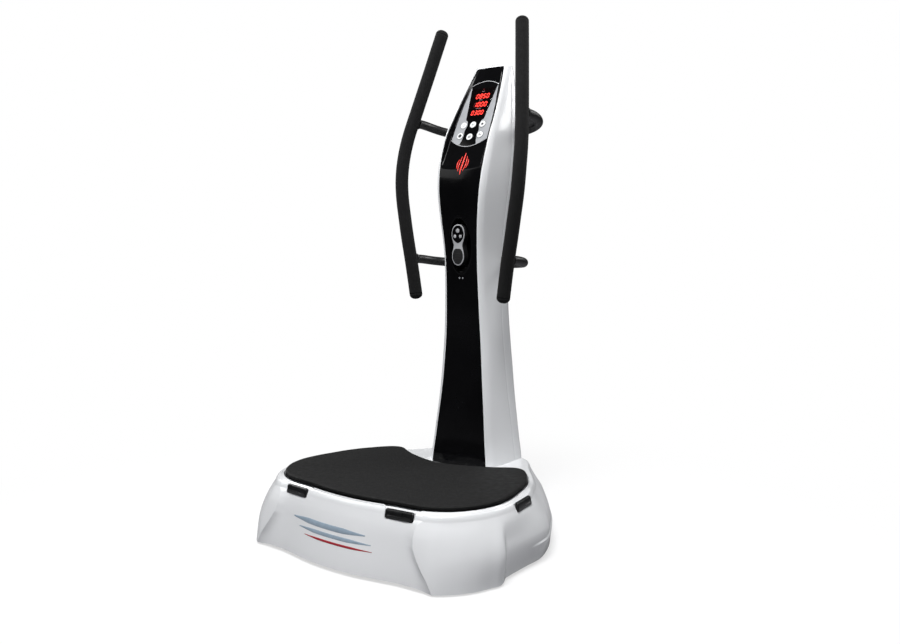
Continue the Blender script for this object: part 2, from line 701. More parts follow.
# ------------------------------------------------------------------ base: cover
def cover_rows():
    """Right half of the cover: points by column, in rows up the wall, over the deck and back."""
    density = 1 + sum(amount * np.exp(-((STATIONS - station) / width) ** 2)
                      for amount, station, width in CROWDING)
    crowd = np.cumsum(0.5 * (density[1:] + density[:-1]) * np.diff(WALL_RUN))
    crowd = np.concatenate([[0], crowd])
    base_station = np.interp(np.linspace(0, crowd[-1], COLUMNS), crowd, STATIONS)
    base_run = run_at(base_station)

    share = np.linspace(0, 1, LEVELS)
    low = lower_edge(half_curve(FLOOR_LINE, base_station))
    rear_fall = 6.0 * smoothstep(30, 130, half_curve(RIM_LINE, base_station)[:, 1])
    top = RIM_H - rear_fall
    height = low[:, None] + (top - low)[:, None] * share
    # the columns lean with the ridge so that it runs along mesh edges
    lean = np.clip(1 - np.abs(base_run - CORNER_RUN) / 150.0, 0, 1)
    lean = smoothstep(0, 1, lean) * 0.25 + lean * 0.75
    run = base_run[:, None] + (ridge_at(height) - CORNER_RUN) * lean[:, None]
    station = np.interp(run, WALL_RUN, STATIONS)
    station[0], station[-1] = 0, LAST
    normal = wall_normal(station)
    line_height = np.minimum(height + rear_fall[:, None] * share**3, RIM_H)
    plan = wall(station, line_height) + normal * lobe(run, height)[..., None]
    rim, rim_normal, rim_station = plan[:, -1], normal[:, -1], station[:, -1]
    rows = [lift(plan[:, k], height[:, k]) for k in range(LEVELS)]

    # rounded shoulder
    for degrees in np.linspace(0, 90, 13)[1:]:
        sin, cos = math.sin(math.radians(degrees)), math.cos(math.radians(degrees))
        inset = 4.2 * sin + 5.5 * (1 - cos)
        rows.append(lift(rim - rim_normal * inset, top + 14.0 * sin))

    # the deck rises to a slim lip round the opening and falls away in front of the column
    shoulder = rows[-1]
    opening = opening_line(4.2, rim_station)
    for f in np.linspace(0, 1, 44)[1:]:
        xy = shoulder[:, :2] * (1 - f) + opening * f
        gap = np.linalg.norm(xy - opening, axis=1)
        z = shoulder[:, 2]
        z = z + (LIP_H - z) * (1 - smoothstep(1.5, 19.0, gap)) * smoothstep(0.0, 0.25, f)
        dip = (smoothstep(82, 106, xy[:, 1]) * (1 - smoothstep(172, 186, xy[:, 1]))
               * (1 - smoothstep(94, 112, np.abs(xy[:, 0]))))
        rows.append(lift(xy, z - (z - 156.6) * dip))

    # rounded lip, then down into the opening
    lip_radius = 1.2
    inward = unit(opening - opening_line(5.4, rim_station))
    rows[-1][:, :2] -= inward * lip_radius
    lip_z = rows[-1][:, 2]
    for degrees in (30, 60, 90):
        turn = math.radians(degrees)
        rows.append(lift(opening - inward * lip_radius * (1 - math.sin(turn)),
                         lip_z - lip_radius * (1 - math.cos(turn))))

    # the inner skin is lower near the strap anchors, to clear their notches
    near = np.zeros(COLUMNS)
    for kind in ANCHORS:
        centre, along, out = anchor_axes(kind, 1)
        off_along, off_out = np.abs((rim - centre) @ along), np.abs((rim - centre) @ out)
        near = np.maximum(near, (1 - smoothstep(66, 82, off_along)) * (off_out < 60))
    lip_foot = 151.0 - 9.0 * near
    rows.append(lift(opening, lip_foot))
    under = opening_line(7.5, rim_station)
    under_fall = 8.6 * smoothstep(20, 70, under[:, 1])
    rows.append(lift(under, lip_foot - under_fall * 0.5))
    rows.append(lift(under, 160.5 - 17.0 * near - under_fall))
    thickness = 4.0
    for k in range(LEVELS - 4, -1, -6):
        rows.append(lift(plan[:, k] - normal[:, k] * thickness,
                         np.minimum(height[:, k], 154.0 - 11.0 * near)))
    rows.append(lift(plan[:, 0] - normal[:, 0] * thickness, low))
    return np.stack(rows, 1)


def anchor_notch(place):
    """An upright seat cut for an anchor, then a scoop that runs back to the mat."""
    verts = []
    # half length, inner side, height
    for half, inner, z in ((41.4, -7.0, 148.6), (43.6, -8.4, 169.0), (66.0, -38.0, 182.0)):
        verts += [place(-half, inner, z), place(half, inner, z),
                  place(half, 30.0, z), place(-half, 30.0, z)]
    return verts, ring_faces(3, 4) + [(3, 2, 1, 0), (8, 9, 10, 11)]


def inlet_opening():
    """A box through the rear wall for the mains inlet."""
    half, front, rear = 27.5, 345, 385
    verts = [np.array([x, y, z]) for z in (43.5, 92.5)
             for x, y in ((-half, front), (half, front), (half, rear), (-half, rear))]
    return verts, [(0, 3, 2, 1), (4, 5, 6, 7)] + ring_faces(2, 4)


def base_cover():
    half = cover_rows()
    half[0, :, 0] = half[-1, :, 0] = 0
    full = np.vstack([half, half[1:-1][::-1] * [-1, 1, 1]])
    cover = add("base_cover_shell", full.reshape(-1, 3),
                grid_faces(len(full), full.shape[1], True, True), WHITE,
                replaces=("base_cover",))
    cuts = [anchor_notch(anchor_place(kind, side)) for kind in ANCHORS for side, _ in SIDES]
    cutter = mesh_object("cutter", *merge(cuts + [inlet_opening()]))
    # the manifold solver can fail and leave too few faces; the exact one then takes over
    for solver in ("MANIFOLD", "EXACT"):
        modifier = cover.modifiers.new("notch", "BOOLEAN")
        modifier.operation = "DIFFERENCE"
        modifier.solver = solver
        modifier.object = cutter
        if solver == "EXACT":
            modifier.use_self = True
        bpy.context.view_layer.update()
        depsgraph = bpy.context.evaluated_depsgraph_get()
        cut_mesh = bpy.data.meshes.new_from_object(cover.evaluated_get(depsgraph))
        cover.modifiers.clear()
        if len(cut_mesh.polygons) > 50000:
            break
    cover.data = cut_mesh
    shade_smooth(cut_mesh)
    crease_edges(cover, 32)
    bpy.data.objects.remove(cutter)
    return cover


cover = base_cover()

# ------------------------------------------------------------------ base: strap anchors
# cross-section of the block: distance out of the rim, height; a groove runs across its face
ANCHOR_PROFILE = [
    (-5.8, 148.9), (3.4, 148.9), (4.8, 149.8), (5.2, 151.6), (4.3, 157.0), (3.1, 157.7),
    (3.1, 158.9), (3.9, 159.6), (2.6, 165.4), (0.9, 169.4), (-0.9, 171.1), (-3.0, 171.7),
    (-5.8, 171.7)]
GROOVE_END = 32.6
# one half of the block's length: distance from its middle, shrinkage of the section
ANCHOR_HALF = [(31.8, 0.0), (GROOVE_END, 0.0), (36.2, 0.0), (38.0, 0.5), (39.2, 1.4), (39.6, 2.6)]


def anchor_block(place):
    middle = np.mean(ANCHOR_PROFILE, 0)
    rings = []
    for along, shrink in [(-s, k) for s, k in ANCHOR_HALF[::-1]] + ANCHOR_HALF:
        ring = []
        for out, z in ANCHOR_PROFILE:
            if abs(along) >= GROOVE_END and 157.3 < z < 159.2 and out > 0:
                out = 4.1                   # the groove is closed at its ends
            point = np.array([out, z])
            ring.append(place(along, *(point + unit(middle - point) * shrink)))
        rings.append(ring)
    return loft(rings)


for kind in ANCHORS:
    blocks = merge(anchor_block(anchor_place(kind, side)) for side, _ in SIDES)
    add("strap_anchor_pair_" + kind, *blocks, NYLON, replaces=("strap_anchors_" + kind,),
        crease=30)


# ------------------------------------------------------------------ mat
def platform_mat():
    bottom, top = 174.0, 186.4
    edge_inset, edge_drop = 6.5, 3.6
    centre = np.array([0.0, -118.0])
    outline = close_half(even_curve(MAT_LINE, np.linspace(0, len(MAT_LINE) - 1, 2400), 240))
    rings = [lift(offset_poly(outline, -1.2), bottom), lift(outline, bottom + 1.2)]
    for degrees in np.linspace(0, 90, 10):
        turn = math.radians(degrees)
        rings.append(lift(offset_poly(outline, -edge_inset * (1 - math.cos(turn))),
                          top - edge_drop * (1 - math.sin(turn))))
    inner = offset_poly(outline, -edge_inset)
    # finely uneven top, in rings that shrink towards the centre
    for f in np.linspace(0, 1, 96)[1:-1]:
        xy = inner * (1 - f) + centre * f
        fine = (0.16 * np.sin(xy[:, 0] * 0.9) * np.sin(xy[:, 1] * 0.9)
                + rng.normal(0, 0.07, len(xy)))
        rings.append(lift(xy, top - 0.18 + fine * (1 - f) ** 0.2))
    add("platform_mat_sheet", *loft(rings), MAT_RUBBER, body="platform",
        replaces=("platform_mat",))


platform_mat()

# ------------------------------------------------------------------ column
COLUMN_FOOT = 166.3
COLUMN_TOP = 1322.0
LID_FOOT = 1316.5
SHELL = 3.0
# front panel: height, half width, y of its front
PANEL = [
    (160, 96, 165.6), (180, 94.4, 167.2), (220, 89.3, 170.2), (260, 84.9, 173.4),
    (300, 80.7, 176.7), (350, 75.3, 180.6), (400, 70.3, 183.6), (450, 66.4, 185.7),
    (500, 62.8, 187.0), (550, 59.8, 186.9), (600, 57.5, 185.3), (650, 56.1, 183.3),
    (700, 54.9, 180.8), (750, 54.9, 178.1), (800, 56.7, 174.5), (850, 60.4, 169.5),
    (900, 65.0, 165.8), (950, 69.6, 165.3), (1000, 73.2, 171.2), (1040, 75.1, 180.7),
    (1080, 75.7, 194.2), (1120, 75.0, 211.1), (1160, 72.0, 234.4), (1200, 67.6, 257.2),
    (1240, 61.9, 280.0), (1280, 54.9, 302.9), (1310, 48.6, 319.6), (1322, 45.8, 326.0)]
# white shell beside the panel: height, width
RIM_WIDTH = [(160, 18), (350, 18.5), (450, 20), (600, 18), (850, 15.5), (1040, 15.5),
             (1120, 12), (1322, 10.5)]
# back of the column: height, y
REAR = [(160, 337.5), (220, 336), (300, 332.5), (400, 329), (500, 324.6), (600, 322),
        (700, 321), (800, 322), (900, 327), (1000, 337), (1080, 347), (1140, 354),
        (1200, 357), (1260, 357), (1322, 353)]
# seam between the side shell and the rear cover: height, y
SEAM = [(160, 291), (225, 290), (290, 287.5), (375, 281), (465, 275), (550, 273), (650, 273),
        (800, 277), (900, 282), (1000, 290), (1100, 301), (1200, 314), (1280, 329), (1322, 340)]
panel_half_width, panel_front = spline(PANEL, 1), spline(PANEL, 2)
rim_width, rear_y, seam_y = spline(RIM_WIDTH), spline(REAR), spline(SEAM)


def section(z):
    """Right half of the column's outline at height z, as 13 control points."""
    inner, front = float(panel_half_width(z)), float(panel_front(z))
    outer, rear = inner + float(rim_width(z)), float(rear_y(z))
    depth = rear - front
    k = min(1.0, depth / 110.0)
    rim = outer - inner
    return np.array([
        (0, front - 2.5), (inner * 0.5, front - 1.8), (inner, front + 0.3),
        (inner + rim * 0.38, front + 3.2 * k), (inner + rim * 0.7, front + 10 * k),
        (inner + rim * 0.92, front + 22 * k), (outer + 1.6, front + 0.4 * depth),
        (outer + 2.2, front + 0.62 * depth), (outer + 1.2, rear - 16 * k),
        (outer - 4, rear - 5 * k), (outer - 15, rear - 0.5 * k), (outer * 0.45, rear + 1.5),
        (0, rear + 2.5)])


def portion(z, start, end, count):
    """Points of the half outline between two control points, and their outward normals."""
    curve = even_curve(section(z), np.linspace(start, end, 400), count)
    return curve, right_of(unit(np.gradient(curve, axis=0)))


def seam_point(z):
    """Where along the outline's control points the seam lies."""
    t = np.linspace(5, 11, 600)
    curve = half_curve(section(z), t)
    return t[np.argmax(curve[:, 1] >= float(seam_y(z)))]


def column_side_shell():
    """Both side shells, from the panel's edge (control point 2) to the seam, and the lid."""
    rings = []
    for z in np.concatenate([[156.0, COLUMN_FOOT], np.linspace(170, 1312, 229), [LID_FOOT]]):
        outer, normal = portion(z, 2.0, seam_point(z), 64)
        # the rear edge turns in at the seam
        outer[-1] -= normal[-1] * 0.9
        outer[-2] -= normal[-2] * 0.25
        ring = lift(np.vstack([outer, (outer - normal * SHELL)[::-1]]), z)
        # the front edge turns in beside the panel
        ring[0, :2] += [0.55, 0.35]
        ring[-1, :2] = ring[0, :2] + [0.2, 7.0]
        rings.append(ring)
    verts, faces = loft(rings)
    # top lid, following the whole outline in front of the seam: height, inset
    lid = []
    for z, inset in ((LID_FOOT, 0.0), (1319.4, 0.0), (1320.6, 0.4), (1321.5, 1.3),
                     (COLUMN_TOP, 2.8)):
        curve, normal = portion(z, 0.0, seam_point(z), 90)
        normal[0] = (0, -1)
        curve = curve - normal * inset
        curve[-1, 1] = min(curve[-1, 1], float(seam_y(z)))
        lid.append(lift(np.vstack([curve, mirrored(curve[1:])]), z))
    parts = [(verts, faces), (verts * [-1, 1, 1], faces), loft(lid)]
    add("column_side_shell", *merge(parts), WHITE, replaces=("column_shell",), crease=40)


def column_back_cover():
    """Rear cover, from seam to seam round the back (control point 12)."""
    rings = []
    for z in np.concatenate([[COLUMN_FOOT], np.linspace(170, 1316, 231), [1320.0, 1321.5]]):
        outer, normal = portion(z, seam_point(z), 12.0, 56)
        normal[-1] = (0, 1)
        # the front edge turns in and stands clear of the seam
        outer[0] -= normal[0] * 0.9
        outer[1] -= normal[1] * 0.25
        outer[:2, 1] += [0.5, 0.45]
        if z > 1320:
            outer = outer - normal * 1.2
        inner = outer - normal * SHELL
        outside, inside = (np.vstack([c, mirrored(c[:-1])]) for c in (outer, inner))
        rings.append(lift(np.vstack([outside, inside[::-1]]), z))
    add("column_back_cover", *loft(rings), WHITE, replaces=("column_rear_cover",), crease=40)


column_side_shell()
column_back_cover()

# ------------------------------------------------------------------ front panel
# console plane: origin, y gained per z, normal and upward direction
CONSOLE_ORIGIN = np.array([0.0, 266.2, 1200.0])
CONSOLE_SLOPE = 0.5
CONSOLE_TILT = math.atan(CONSOLE_SLOPE)
CONSOLE_NORMAL = np.array([0.0, -math.cos(CONSOLE_TILT), math.sin(CONSOLE_TILT)])
CONSOLE_UP = np.array([0.0, math.sin(CONSOLE_TILT), math.cos(CONSOLE_TILT)])
# oval pocket for the remote: height of its middle, half width, half height
POCKET_Z, POCKET_X_RADIUS, POCKET_Z_RADIUS = 798.5, 38.5, 78.0


def on_console(x, y, depth):
    return CONSOLE_ORIGIN + np.array([x, 0, 0]) + CONSOLE_UP * y + CONSOLE_NORMAL * depth


def panel_y(x, z):
    """Front face of the black panel: waisted, with the console let in and an oval pocket."""
    x, z = np.asarray(x, float), np.asarray(z, float)
    half_width = panel_half_width(z)
    y = panel_front(z) - 2.5 + 2.8 * np.clip(np.abs(x) / half_width, 0, 1) ** 2
    plane = CONSOLE_ORIGIN[1] + CONSOLE_SLOPE * (z - CONSOLE_ORIGIN[2])
    recess = np.maximum(plane - y, 0.0) * smoothstep(1005, 1020, z)
    y = y + recess * smoothstep(1.5, 9.5, half_width - np.abs(x))
    # pocket: a raised rim, then a deep oval well
    oval = np.sqrt((x / POCKET_X_RADIUS) ** 2 + ((z - POCKET_Z) / POCKET_Z_RADIUS) ** 2)
    y = y - 1.0 * np.exp(-((oval - 1.03) / 0.04) ** 2)
    return y + 23.0 * (1 - smoothstep(0.84, 0.985, oval))


def on_panel(x, z, depth):
    return np.array([x, float(panel_y(x, z)) - depth, z])


def front_panel():
    columns = 129
    side_gap = 0.45
    across = np.linspace(-1, 1, columns)
    across = np.sign(across) * (1 - (1 - np.abs(across)) ** 1.15)
    heights = np.concatenate([
        [153.0, 157.0], np.linspace(COLUMN_FOOT + 0.3, 690, 180),
        np.linspace(690, 900, 200)[1:], np.linspace(900, LID_FOOT - 0.5, 230)[1:]])
    rings = []
    for z in heights:
        x = across * (float(panel_half_width(z)) - side_gap)
        y = panel_y(x, np.full_like(x, z))
        front = lift(np.stack([x, y], 1), z)
        front[[0, -1], 1] += 0.15
        back = lift(np.stack([x[::-1][1:-1] * 0.985, y[::-1][1:-1] + 3.0], 1), z)
        rings.append(np.vstack([
            front, [(x[-1], y[-1] + 0.6, z), (x[-1] - 0.1, y[-1] + 6.0, z)],
            back, [(x[0] + 0.1, y[0] + 6.0, z), (x[0], y[0] + 0.6, z)]]))
    add("front_panel_skin", *loft(rings), GLOSS, replaces=("front_panel", "remote_holder"),
        crease=38)


front_panel()


# ------------------------------------------------------------------ console overlay
def parabola(start, middle, end):
    """24 points of the quadratic curve through three points."""
    t = np.linspace(0, 1, 24)[:, None]
    return (np.array(start, float) * ((t - 0.5) * (t - 1) / 0.5)
            + np.array(middle, float) * (t * (t - 1) / -0.25)
            + np.array(end, float) * (t * (t - 0.5) / 0.5))


# right side of the overlay on the console plane, from the top corner down
OVERLAY_SIDE = np.array([(48, 68), (57, 2), (61, -50), (63, -112)], float)
MIRROR_X = np.array([-1, 1])
top_arc = parabola(OVERLAY_SIDE[0] * MIRROR_X, (0, 83), OVERLAY_SIDE[0])
bottom_arc = parabola(OVERLAY_SIDE[-1], (0, -136), OVERLAY_SIDE[-1] * MIRROR_X)
side_points = np.array([a + (b - a) * t for a, b in zip(OVERLAY_SIDE, OVERLAY_SIDE[1:])
                        for t in np.linspace(0, 1, 8)[1:]])[:-1]
slab("console_overlay_base",
     np.vstack([top_arc, side_points, bottom_arc, mirrored(side_points)]),
     0.0, 0.7, 0.3, on_console, GLOSS, replaces=("console_overlay",))
for where, line in (("top", top_arc), ("bottom", bottom_arc)):
    stroke("console_outline_" + where, line, 1.7, on_console, 0.6, 1.35, TRIM,
           slot="silver_overlay")

# silver areas down both sides of the keys and the display
WEDGE_OUTER = [(46.8, 67), (55.8, 2), (59.8, -50), (61.9, -110.5)]
WEDGE_INNER = [(29.5, -130), (25.5, -117), (23.5, -100), (25.5, -84), (20.5, -66), (24, -52),
               (32, -46), (36, -12), (44.5, 60)]
wedge_foot = [(x - 0.6, y + 1.0) for x, y in bottom_arc if x >= 29.0][1:]
for side, where in SIDES:
    wedge = [(side * x, y) for x, y in WEDGE_OUTER + wedge_foot + WEDGE_INNER]
    slab("console_wedge_" + where, wedge, 0.5, 1.15, 0.25, on_console, SILVER,
         slot="silver_overlay")

# ------------------------------------------------------------------ display
DISPLAY = np.array([(-31, -48), (31, -48), (41.5, 61), (-41.5, 61)])
slab("display_bed", round_corners(DISPLAY, 3), 0.3, 0.95, 0.15, on_console, GLOSS,
     slot="smoked_window")
slab("display_window_pane", round_corners(DISPLAY * 0.985, 3), 1.7, 2.3, 0.25, on_console,
     WINDOW, replaces=("display_window",))

# lit segments of each digit: a top, b and c right, d bottom, e and f left, g middle
SEGMENTS = {"0": "abcdef", "1": "bc", "2": "abged", "3": "abgcd", "4": "fgbc", "5": "afgcd",
            "6": "afgecd", "7": "abc", "8": "abcdefg", "9": "abcfgd"}
SEGMENT_WIDTH = 2.7
SEGMENT_GAP = SEGMENT_WIDTH * 0.18
DIGIT_SPACE = 4.6
SLANT = 0.10
# text, y of its middle, digit width, digit height, shift in x
DIGIT_ROWS = (("0850", 32, 7.4, 14.5, 3.0), ("1000", 4, 7.4, 14.5, 3.0),
              ("0300", -24, 6.6, 13.5, 1.0))


def digit(char, centre_x, centre_y, width, height):
    """Seven-segment shapes of one digit, as (outline, lit)."""
    left, right = centre_x - width / 2, centre_x + width / 2
    bottom, top = centre_y - height / 2, centre_y + height / 2

    def level(y, start, end):
        half = SEGMENT_WIDTH / 2
        start, end = start + SEGMENT_GAP, end - SEGMENT_GAP
        return [(start, y), (start + half, y + half), (end - half, y + half), (end, y),
                (end - half, y - half), (start + half, y - half)]

    def upright(x, start, end):
        return [(across, along) for along, across in level(x, start, end)]

    shapes = {"a": level(top, left, right), "g": level(centre_y, left, right),
              "d": level(bottom, left, right), "f": upright(left, centre_y, top),
              "b": upright(right, centre_y, top), "e": upright(left, bottom, centre_y),
              "c": upright(right, bottom, centre_y)}
    return [([(x + (y - centre_y) * SLANT, y) for x, y in shape], key in SEGMENTS[char])
            for key, shape in shapes.items()]


segments = {True: [], False: []}
for text, y, width, height, shift in DIGIT_ROWS:
    for i, char in enumerate(text):
        x = (i - 1.5) * (width + DIGIT_SPACE) + shift
        for shape, lit in digit(char, x, y, width, height):
            outline = ccw(shape)
            segments[lit].append(loft([placed(outline, 0.85, on_console),
                                       placed(outline, 1.22, on_console),
                                       placed(offset_poly(outline, -0.12), 1.3, on_console)]))
add("led_segments_lit", *merge(segments[True]), LED_ON, replaces=("led_modules",), smooth=False)
add("led_segments_dark", *merge(segments[False]), LED_OFF, slot="red_led", smooth=False)
for i, (y, width) in enumerate(((48.5, 9), (19.2, 12), (-9.6, 17))):
    slab("display_caption_bar_%d" % i, rounded_bar(width / 2, y, 0.8, 0.5), 0.85, 1.1, 0.1,
         on_console, INK_GREY, slot="silver_overlay")
slab("display_status_lamp", disc(1.0, 24) * [3.2, 1.6] + [0, 55.5], 0.85, 1.2, 0.2,
     on_console, LED_OFF, slot="red_led")

# ------------------------------------------------------------------ console keys
BUTTONS = {"button_mode": (-33, -65), "button_start": (0, -65), "button_stop": (33, -65),
           "button_speed_down": (-35, -100), "button_program": (0, -105),
           "button_speed_up": (35, -100)}
KEY_SIDES = 56
# radius, depth
COLLAR_PROFILE = [(11.3, 0.5), (11.3, 1.15), (11.1, 1.35), (10.8, 1.4), (10.55, 1.3), (10.5, 0.5)]
KEY_PROFILE = [(9.8, 2.02), (10.1, 2.12), (10.1, 2.5), (9.95, 2.78), (9.5, 3.0), (8.8, 3.12),
               (7.4, 3.02), (5.4, 2.86), (2.7, 2.78), (0.6, 2.76)]
MARK_LOW, MARK_HIGH = 2.72, 3.0
# plain marks: outline, top, print
MARKS = {
    "button_start": (round_corners([(-3.0, -4.0), (4.4, 0), (-3.0, 4.0)], 0.8), MARK_HIGH,
                     INK_GREY),
    "button_stop": (disc(3.9, 32), 2.98, INK_DARK),
    "button_speed_down": (disc(5.6, 32), 2.98, INK_DARK),
    "button_speed_up": (round_corners([(-4.6, -2.6), (0, 3.6), (4.6, -2.6), (2.4, -2.6),
                                       (0, 0.6), (-2.4, -2.6)], 0.4), MARK_HIGH, INK_DARK),
}


def key_mark(name, place):
    options = {"body": name, "slot": "white_button"}
    if name == "button_mode":       # a ring
        stroke(name + "_mark", disc(3.6, 32), 1.3, place, MARK_LOW, MARK_HIGH, INK_GREY,
               closed=True, **options)
    elif name == "button_program":  # two bars
        bars = [rounded_bar(5.4, y, 1.2, 0.6) for y in (-1.9, 1.9)]
        parts = [loft([placed(bar, depth, place) for depth in (MARK_LOW, MARK_HIGH)])
                 for bar in bars]
        add(name + "_mark", *merge(parts), INK_DARK, **options)
    else:
        outline, top, ink = MARKS[name]
        slab(name + "_mark", outline, MARK_LOW, top, 0.1, place, ink, **options)


for name, (x, y) in BUTTONS.items():
    place = shifted(on_console, x, y)
    # a dark moulded collar stands round each key, fixed to the console
    collar = np.vstack([placed(disc(r, KEY_SIDES), depth, place) for r, depth in COLLAR_PROFILE])
    add(name + "_collar", collar, ring_faces(len(COLLAR_PROFILE), KEY_SIDES, closed=True),
        PLASTIC, slot="silver_overlay")
    lathe(name + "_cap", KEY_PROFILE, place, KEY_WHITE, KEY_SIDES, body=name, replaces=(name,))
    key_mark(name, place)

# ------------------------------------------------------------------ emblem and vents
# emblem under the console: a bar between two pairs of arcs, leaning slightly to the right
EMBLEM_X, EMBLEM_Z, EMBLEM_LEAN = 3.2, 1028.0, 0.05


def emblem_stroke(name, line, width, end):
    """line rows are x from the leaning axis, height from the emblem's middle."""
    points = [(EMBLEM_X + EMBLEM_LEAN * t + x, EMBLEM_Z + t) for x, t in line]
    stroke(name, points, width, on_panel, -0.3, 0.5, EMBLEM, slot="red_rocker",
           taper=spindle(end))


emblem_stroke("emblem_bar", [(0, t) for t in np.linspace(-31, 31, 40)], 5.0, 0.35)
for side, where in reversed(SIDES):
    for k, (distance, half) in enumerate(((8.0, 22.0), (15.0, 13.0))):
        line = [(side * (distance + 3.4 * (1 - (t / half) ** 2)), t)
                for t in np.linspace(-half, half, 30)]
        emblem_stroke("emblem_arc_%s_%d" % (where, k), line, 3.2, 0.3)
# two small discs under the pocket
for side, where in reversed(SIDES):
    slab("panel_vent_" + where, disc(2.6, 24), -0.6, 0.5, 0.3,
         shifted(on_panel, side * 5.5, 704.0), SILVER, slot="gloss_black_panel")

# ------------------------------------------------------------------ stripes on the base's front
bpy.context.view_layer.update()
cover_tree = BVHTree.FromPolygons([vert.co for vert in cover.data.vertices],
                                  [tuple(poly.vertices) for poly in cover.data.polygons])
# left end, right end, height, width, print
STRIPES = ((-166, 92, 101.0, 13.0, INK_BLUE), (-138, 112, 82.0, 9.0, INK_BLUE),
           (-112, 118, 67.0, 5.5, INK_RED))


def on_front(x, z, depth):
    """On the moulded wall, found by a ray cast from the front."""
    hit = cover_tree.ray_cast(Vector((x * MM, -0.6, z * MM)), Vector((0, 1, 0)))[0]
    y = hit.y / MM if hit else -340.0
    return np.array([x, y - depth, z])


for i, (left, right, z, width, ink) in enumerate(STRIPES):
    stroke("base_stripe_%d" % i, [(x, z) for x in np.linspace(left, right, 70)], width,
           on_front, -0.3, 0.35, ink, slot="white_shell",
           taper=lambda t: min(1.0, 0.25 + 3.2 * t) * min(1.0, 0.2 + 3.0 * (1 - t)))

# ------------------------------------------------------------------ remote control
# right halves (x, y from the remote's middle), from the top down
REMOTE = [(0, 58.7), (10, 56.9), (18, 49.5), (22, 38), (22.8, 26), (19.8, 13.5), (16, 2.5),
          (15.5, -3.7), (18, -14.7), (21, -28), (20.5, -40.4), (14, -52), (7, -57.4), (0, -58.7)]
KEY_BED = [(0, 55.2), (8.8, 53.4), (15.8, 46.8), (19.2, 37.4), (19.8, 26.8), (17.0, 17.2),
           (11.0, 10.4), (4.6, 6.6), (0, 5.2)]
LOWER_PAD = [(0, -10.5), (9, -11.2), (14.6, -17), (17.8, -28.0), (17.4, -39.2), (11.6, -49.6),
             (5.9, -53.9), (0, -55.0)]
# section of the case's edge: inset, depth
CASE_EDGE = ((3.0, -23.0), (1.0, -22.2), (0.2, -20.5), (0.0, -17), (0.0, -6), (0.0, -2.6),
             (0.35, -1.2), (1.2, -0.4), (2.4, 0.0))
REMOTE_FACE_Y = look_up([(z, y) for z, _, y in PANEL], POCKET_Z) - 11.4
# x, y, radius
REMOTE_KEYS = {"remote_key_top": (0, 40.5, 6.0), "remote_key_left": (-9.6, 24.3, 4.7),
               "remote_key_right": (9.6, 24.3, 4.7)}


def on_remote(x, y, depth):
    return np.array([x, REMOTE_FACE_Y - depth, POCKET_Z + y])


case = ccw(smooth_outline(REMOTE, 90))
case_rings = [placed(offset_poly(case, -inset), depth, on_remote) for inset, depth in CASE_EDGE]
add("remote_case", *loft(case_rings), PLASTIC, body="remote", replaces=("remote_body",),
    crease=38)
slab("remote_face_trim", offset_poly(case, -0.6), -1.2, 0.75, 0.7, on_remote, TRIM,
     body="remote", replaces=("remote_trim",))
slab("remote_key_bed", smooth_outline(KEY_BED, 60), 0.3, 1.25, 0.5, on_remote, GLOSS,
     body="remote", slot="black_plastic")
slab("remote_lower_pad", smooth_outline(LOWER_PAD, 60), 0.3, 1.6, 0.9, on_remote, PLASTIC,
     body="remote", slot="black_plastic")
for k, y in enumerate((-24, -31, -38)):
    stroke("remote_pad_rib_%d" % k, [(x, y - 0.012 * x * x) for x in np.linspace(-9, 9, 20)],
           1.5, on_remote, 1.4, 2.0, PLASTIC, body="remote", slot="black_plastic",
           taper=spindle(0.4))
for name, (x, y, r) in REMOTE_KEYS.items():
    profile = [(r - 0.3, 1.9), (r, 2.0), (r, 2.15), (r - 0.35, 2.4), (r - 1.1, 2.65),
               (r * 0.5, 2.8), (0.4, 2.9)]
    lathe(name + "_cap", profile, shifted(on_remote, x, y), TRIM, 40, body=name,
          replaces=(name,))

# ------------------------------------------------------------------ handlebars
GRIP_RADIUS, GRIP_SIDES = 19.0, 56
BRACKET_RADIUS, BRACKET_SIDES = 13.0, 44
# paths of the right-hand tubes (x, y, z)
BAR = [(156, 163.7, 655), (162.9, 162.5, 700), (172.7, 160.8, 760), (183.7, 159.4, 820),
       (193.5, 158.6, 880), (202.4, 158.8, 940), (206.3, 162.0, 1000), (205.0, 171.5, 1060),
       (198.2, 185.6, 1120), (187.1, 203.0, 1180), (175.6, 220.5, 1240), (164.0, 238.1, 1300),
       (152.6, 255.1, 1360), (141.6, 271.3, 1417)]
BRACKETS = {
    "upper": [(191, 197, 1158), (190.5, 243, 1157), (185, 286, 1150), (169, 316, 1142),
              (144, 333, 1135), (114, 339, 1129), (86, 336, 1126), (62, 319, 1124),
              (50, 300, 1124)],
    "lower": [(171, 161, 757), (170, 204, 756), (164, 248, 751), (144, 279, 747),
              (113, 291, 745), (80, 289, 744), (50, 282, 744)],
}
# radius, distance beyond the grip's end
CAP_PROFILE = ((GRIP_RADIUS, 0.2), (18.3, 0.55), (18.5, 1.1), (GRIP_RADIUS, 1.8), (18.95, 4.0),
               (18.2, 6.4), (16.9, 9.0), (14.4, 11.9), (10.9, 14.2), (6.8, 15.7), (3.2, 16.4),
               (0.7, 16.5))
# radius, distance along the tube
TUBE_COLLAR = ((13.2, 17.0), (15.4, 17.2), (16.2, 18.2), (16.2, 21.2), (15.4, 22.2), (13.2, 22.4))


def loft_side(rings, side):
    """The loft of right-hand rings, mirrored for the left side."""
    return loft([ring * [side, 1, 1] for ring in rings])


